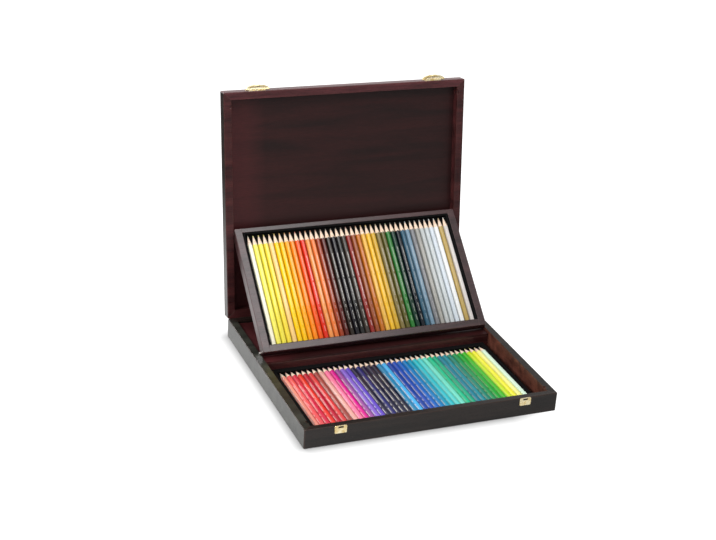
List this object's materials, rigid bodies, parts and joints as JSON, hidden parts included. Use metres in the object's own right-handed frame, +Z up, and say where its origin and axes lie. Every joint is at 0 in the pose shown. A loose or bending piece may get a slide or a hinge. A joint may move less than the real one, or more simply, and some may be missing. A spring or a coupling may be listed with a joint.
{
  "type": "storage box",
  "caption": "Shallow wooden pencil case with an upright lid, an inclined tray that the lid carries, rows of coloured pencils on black inserts and two brass latches.",
  "frame": {"origin": "middle of the base's underside, on the surface the case stands on", "axes": "+X to the right along the front, +Y to the hinges at the back, +Z up"},
  "size_m": [0.38, 0.402, 0.3747],
  "materials": {
    "stained_wood": "satin",
    "stained_plywood": "satin",
    "black_insert": "matte",
    "brass": "polished",
    "screws": "polished",
    "pins": "polished",
    "lower_pencils_reds": "gloss",
    "lower_pencils_pinks": "gloss",
    "lower_pencils_violets": "gloss",
    "lower_pencils_navies": "gloss",
    "lower_pencils_blues": "gloss",
    "lower_pencils_turquoises": "gloss",
    "lower_pencils_greens": "gloss",
    "lower_pencils_limes": "gloss",
    "upper_pencils_yellows": "gloss",
    "upper_pencils_oranges": "gloss",
    "upper_pencils_rusts": "gloss",
    "upper_pencils_umbers": "gloss",
    "upper_pencils_ochres": "gloss",
    "upper_pencils_olives": "gloss",
    "upper_pencils_slates": "gloss",
    "upper_pencils_silvers": "gloss"
  },
  "bodies": {
    "base": {"base_front_wall": "stained_wood", "base_back_wall": "stained_wood", "base_left_wall": "stained_wood", "base_right_wall": "stained_wood", "base_bottom_panel": "stained_plywood", "riser_board": "stained_wood", "shelf_panel": "stained_plywood", "lower_insert": "black_insert", "catch_plate_left": "brass", "catch_plate_right": "brass", "base_hinge_leaf_left": "brass", "base_hinge_leaf_right": "brass", "base_hinge_screws": "screws", "hinge_pins": "pins", "lower_pencils_reds": "lower_pencils_reds", "lower_pencils_pinks": "lower_pencils_pinks", "lower_pencils_violets": "lower_pencils_violets", "lower_pencils_navies": "lower_pencils_navies", "lower_pencils_blues": "lower_pencils_blues", "lower_pencils_turquoises": "lower_pencils_turquoises", "lower_pencils_greens": "lower_pencils_greens", "lower_pencils_limes": "lower_pencils_limes"},
    "lid": {"lid_front_rail": "stained_wood", "lid_rear_rail": "stained_wood", "lid_left_rail": "stained_wood", "lid_right_rail": "stained_wood", "lid_panel": "stained_plywood", "lid_hinge_leaf_left": "brass", "lid_hinge_leaf_right": "brass", "lid_hinge_screws": "screws", "latch_plate_left": "brass", "latch_plate_right": "brass", "latch_plate_screws": "screws"},
    "tray": {"tray_upper_rail": "stained_wood", "tray_lower_rail": "stained_wood", "tray_left_rail": "stained_wood", "tray_right_rail": "stained_wood", "tray_bottom_panel": "stained_plywood", "upper_insert": "black_insert", "tray_pivot_pins": "pins", "tray_guide_pins": "pins", "upper_pencils_yellows": "upper_pencils_yellows", "upper_pencils_oranges": "upper_pencils_oranges", "upper_pencils_rusts": "upper_pencils_rusts", "upper_pencils_umbers": "upper_pencils_umbers", "upper_pencils_ochres": "upper_pencils_ochres", "upper_pencils_olives": "upper_pencils_olives", "upper_pencils_slates": "upper_pencils_slates", "upper_pencils_silvers": "upper_pencils_silvers"},
    "latch_left": {"latch_bow_left": "brass"},
    "latch_right": {"latch_bow_right": "brass"}
  },
  "joints": [
    {"name": "lid_hinge", "type": "hinge", "parent": "base", "child": "lid", "pos_m": [0, 0.17015, 0.02915], "axis": [1, 0, 0], "range_deg": [0, 97.5]},
    {"name": "tray_pivot", "type": "hinge", "parent": "lid", "child": "tray", "pos_m": [0, 0.19083, 0.15753], "axis": [1, 0, 0], "range_deg": [-138.19, 0]},
    {"name": "latch_left_swing", "type": "hinge", "parent": "lid", "child": "latch_left", "pos_m": [-0.1385, 0.21741, 0.36823], "axis": [1, 0, 0], "range_deg": [0, 90]},
    {"name": "latch_right_swing", "type": "hinge", "parent": "lid", "child": "latch_right", "pos_m": [0.1385, 0.21741, 0.36823], "axis": [1, 0, 0], "range_deg": [0, 90]}
  ],
  "couplings": [
    {"joint": "tray_pivot", "follows": "lid_hinge", "ratio": -1.4173}
  ]
}
